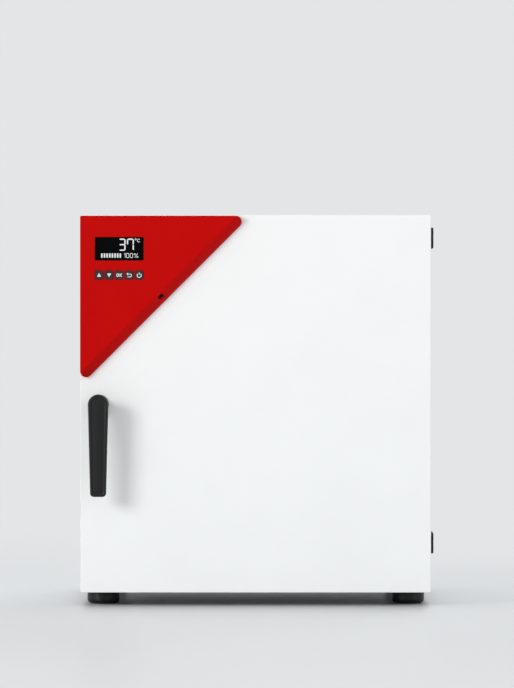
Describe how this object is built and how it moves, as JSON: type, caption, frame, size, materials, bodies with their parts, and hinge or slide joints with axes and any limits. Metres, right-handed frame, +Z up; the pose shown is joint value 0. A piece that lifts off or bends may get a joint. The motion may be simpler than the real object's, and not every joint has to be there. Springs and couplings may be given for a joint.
{
  "type": "laboratory incubator",
  "caption": "Bench laboratory incubator: solid outer door with a triangular control panel, lever handle, inner glass door, wire shelves, fan and rear vent duct.",
  "frame": {"origin": "middle of the footprint, on the surface that the four feet stand on", "axes": "+X to the right seen from the front, +Y from the door to the rear, +Z up"},
  "size_m": [0.565, 0.667, 0.625],
  "materials": {
    "powder_coat_white": "satin powder coat, off-white",
    "stainless": "brushed stainless sheet",
    "zinc_plate": "bright zinc plate",
    "aluminium": "mill finish",
    "chrome_wire": "bright chrome",
    "panel_red": "red moulding, satin gloss",
    "moulded_black": "black moulding, fine grain",
    "key_black": "soft-touch dark grey",
    "display_black": "polished black acrylic",
    "foot_rubber": "matt black rubber",
    "silicone": "grey silicone",
    "clear_glass": "clear toughened glass",
    "mineral_wool": "mineral wool",
    "circuit_board": "green solder mask",
    "motor_dark": "dark lacquer"
  },
  "bodies": {
    "cabinet": {"housing_wrap": "powder_coat_white", "base_pan": "zinc_plate", "front_frame": "powder_coat_white", "rear_panel": "powder_coat_white", "rear_bulkhead": "zinc_plate", "inner_chamber": "stainless", "tub_insulation": "mineral_wool", "rear_insulation": "mineral_wool", "left_air_baffle": "stainless", "right_air_baffle": "stainless", "rear_air_baffle": "stainless", "shaft_bush": "moulded_black", "fan_motor": "motor_dark", "heater_ring": "stainless", "exhaust_duct": "stainless", "temperature_probes": "stainless", "chamber_seal": "silicone", "power_board": "circuit_board", "mains_inlet": "moulded_black", "network_socket": "zinc_plate", "feet": "foot_rubber", "hinge_pins": "zinc_plate", "latch_keeper": "stainless", "glass_brackets": "stainless", "glass_magnet": "moulded_black", "housing_hinge_upper": "moulded_black", "housing_hinge_lower": "moulded_black", "lower_shelf": "chrome_wire", "upper_shelf": "chrome_wire"},
    "door": {"door_skin": "powder_coat_white", "door_inner_panel": "stainless", "door_insulation": "mineral_wool", "door_gasket": "silicone", "control_cover": "panel_red", "control_base": "moulded_black", "control_board": "circuit_board", "display_window": "display_black", "display_module": "moulded_black", "service_socket": "zinc_plate", "handle_rosette": "moulded_black", "door_hinge_upper": "moulded_black", "door_hinge_lower": "moulded_black"},
    "handle": {"handle_lever": "moulded_black", "handle_spindle": "zinc_plate", "latch_tongue": "zinc_plate"},
    "glass_door": {"glass_panel": "clear_glass", "glass_hardware": "stainless", "glass_pull": "stainless"},
    "fan": {"fan_wheel": "aluminium", "fan_shaft": "zinc_plate"},
    "flap": {"exhaust_flap": "stainless"},
    "key_up_cap": {"key_up": "key_black"},
    "key_down_cap": {"key_down": "key_black"},
    "key_ok_cap": {"key_ok": "key_black"},
    "key_back_cap": {"key_back": "key_black"},
    "key_power_cap": {"key_power": "key_black"}
  },
  "joints": [
    {"name": "door_swing", "type": "hinge", "parent": "cabinet", "child": "door", "pos_m": [0.278, -0.2245, 0], "axis": [0, 0, 1], "range_deg": [0, 115]},
    {"name": "glass_door_swing", "type": "hinge", "parent": "cabinet", "child": "glass_door", "pos_m": [0.2185, -0.2185, 0], "axis": [0, 0, 1], "range_deg": [0, 105]},
    {"name": "handle_turn", "type": "hinge", "parent": "door", "child": "handle", "pos_m": [-0.2529, -0.2795, 0.3226], "axis": [0, -1, 0], "range_deg": [0, 90]},
    {"name": "fan_spin", "type": "hinge", "parent": "cabinet", "child": "fan", "pos_m": [-0.0025, 0.1825, 0.317], "axis": [0, -1, 0], "continuous": true},
    {"name": "flap_turn", "type": "hinge", "parent": "cabinet", "child": "flap", "pos_m": [-0.0025, 0.3095, 0.485], "axis": [-1, 0, 0], "range_deg": [0, 90]},
    {"name": "key_up_press", "type": "slide", "parent": "door", "child": "key_up_cap", "axis": [0, 1, 0], "range_m": [0, 0.0008], "stiffness_N_per_m": 1500},
    {"name": "key_down_press", "type": "slide", "parent": "door", "child": "key_down_cap", "axis": [0, 1, 0], "range_m": [0, 0.0008], "stiffness_N_per_m": 1500},
    {"name": "key_ok_press", "type": "slide", "parent": "door", "child": "key_ok_cap", "axis": [0, 1, 0], "range_m": [0, 0.0008], "stiffness_N_per_m": 1500},
    {"name": "key_back_press", "type": "slide", "parent": "door", "child": "key_back_cap", "axis": [0, 1, 0], "range_m": [0, 0.0008], "stiffness_N_per_m": 1500},
    {"name": "key_power_press", "type": "slide", "parent": "door", "child": "key_power_cap", "axis": [0, 1, 0], "range_m": [0, 0.0008], "stiffness_N_per_m": 1500}
  ],
  "couplings": [
    {"joint": "glass_door_swing", "follows": "door_swing", "ratio": 0.91304}
  ]
}
